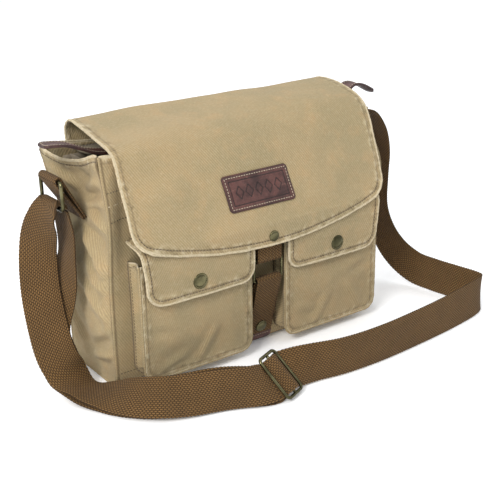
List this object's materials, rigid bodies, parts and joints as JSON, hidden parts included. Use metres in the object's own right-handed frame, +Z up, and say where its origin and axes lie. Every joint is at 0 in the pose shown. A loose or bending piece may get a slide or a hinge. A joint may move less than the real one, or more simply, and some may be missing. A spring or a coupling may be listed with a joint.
{
  "type": "messenger bag",
  "caption": "Canvas messenger bag with a folding front flap, bellows pockets with snap flaps, zipped mouth, ring-hung webbing shoulder strap and slider.",
  "frame": {"origin": "middle of the flat base, on the surface that the bag stands on", "axes": "+X to the right of someone facing the front, -Y towards the front, +Z up"},
  "size_m": [0.4914, 0.2173, 0.2523],
  "materials": {
    "canvas": "washed cotton twill, khaki, pale at the edges",
    "lining": "thin plain-woven cotton",
    "webbing": "brown woven cotton webbing",
    "leather": "dark maroon-brown grained leather",
    "antique_brass": "antique brass, darkened, satin",
    "zip_tape": "herringbone tape with canvas",
    "zip_metal": "antique brass"
  },
  "bodies": {
    "bag": {"front_panel": "canvas", "back_panel": "canvas", "side_gusset_left": "canvas", "side_gusset_right": "canvas", "bottom_panel": "canvas", "lining": "lining", "zip_tape_front": "zip_tape", "zip_tape_back": "zip_tape", "zip_teeth_front": "zip_metal", "zip_teeth_back": "zip_metal", "zip_end_stop": "zip_metal", "zip_end_tab_left": "leather", "zip_end_tab_right": "leather", "pocket_face_left": "canvas", "pocket_face_right": "canvas", "pocket_gusset_left": "canvas", "pocket_gusset_right": "canvas", "pocket_snap_stud_left": "antique_brass", "pocket_snap_stud_right": "antique_brass", "pocket_snap_back_left": "antique_brass", "pocket_snap_back_right": "antique_brass", "closure_webbing_upper": "webbing", "closure_magnet_tab": "antique_brass", "closure_ring": "antique_brass", "closure_webbing_lower": "webbing", "closure_rivet_cap": "antique_brass", "closure_leather_wrap": "leather", "side_tab_left": "webbing", "side_tab_right": "webbing", "strap_outer_run": "webbing", "strap_inner_run": "webbing", "adjuster_frame": "antique_brass", "adjuster_bar": "antique_brass"},
    "flap_top": {"flap_top_panel": "canvas"},
    "flap_front": {"flap_front_panel": "canvas", "leather_patch": "leather", "closure_cap": "antique_brass", "closure_magnet_flap": "antique_brass"},
    "pocket_flap_left": {"pocket_flap_left": "canvas", "pocket_snap_cap_left": "antique_brass", "pocket_snap_socket_left": "antique_brass"},
    "pocket_flap_right": {"pocket_flap_right": "canvas", "pocket_snap_cap_right": "antique_brass", "pocket_snap_socket_right": "antique_brass"},
    "ring_left": {"strap_ring_left": "antique_brass"},
    "ring_right": {"strap_ring_right": "antique_brass"},
    "zip_slider": {"zip_slider": "zip_metal"},
    "zip_pull": {"zip_pull": "zip_metal"}
  },
  "joints": [
    {"name": "flap_hinge", "type": "hinge", "parent": "bag", "child": "flap_top", "pos_m": [0, 0.0478, 0.2215], "axis": [-1, 0, 0], "range_deg": [0, 150]},
    {"name": "flap_crease", "type": "hinge", "parent": "flap_top", "child": "flap_front", "pos_m": [0, -0.044, 0.231], "axis": [-1, 0, 0], "range_deg": [0, 70]},
    {"name": "pocket_flap_left_hinge", "type": "hinge", "parent": "bag", "child": "pocket_flap_left", "pos_m": [-0.085, -0.0513, 0.156], "axis": [-1, 0, 0], "range_deg": [0, 106]},
    {"name": "pocket_flap_right_hinge", "type": "hinge", "parent": "bag", "child": "pocket_flap_right", "pos_m": [0.085, -0.0513, 0.156], "axis": [-1, 0, 0], "range_deg": [0, 106]},
    {"name": "ring_left_swing", "type": "hinge", "parent": "bag", "child": "ring_left", "pos_m": [-0.192, 0, 0.2045], "axis": [0, 1, 0], "range_deg": [-5, 5]},
    {"name": "ring_right_swing", "type": "hinge", "parent": "bag", "child": "ring_right", "pos_m": [0.1745, 0, 0.186], "axis": [0, -1, 0], "range_deg": [0, 6]},
    {"name": "zip_slide", "type": "slide", "parent": "bag", "child": "zip_slider", "axis": [-1, 0, 0], "range_m": [0, 0.13]},
    {"name": "zip_pull_hinge", "type": "hinge", "parent": "zip_slider", "child": "zip_pull", "pos_m": [0.002, 0, 0.2227], "axis": [0, -1, 0], "range_deg": [0, 150]}
  ],
  "couplings": [
    {"joint": "flap_crease", "follows": "flap_hinge", "ratio": 0.46},
    {"joint": "pocket_flap_left_hinge", "follows": "flap_hinge", "ratio": 0.7},
    {"joint": "pocket_flap_right_hinge", "follows": "flap_hinge", "ratio": 0.7}
  ]
}
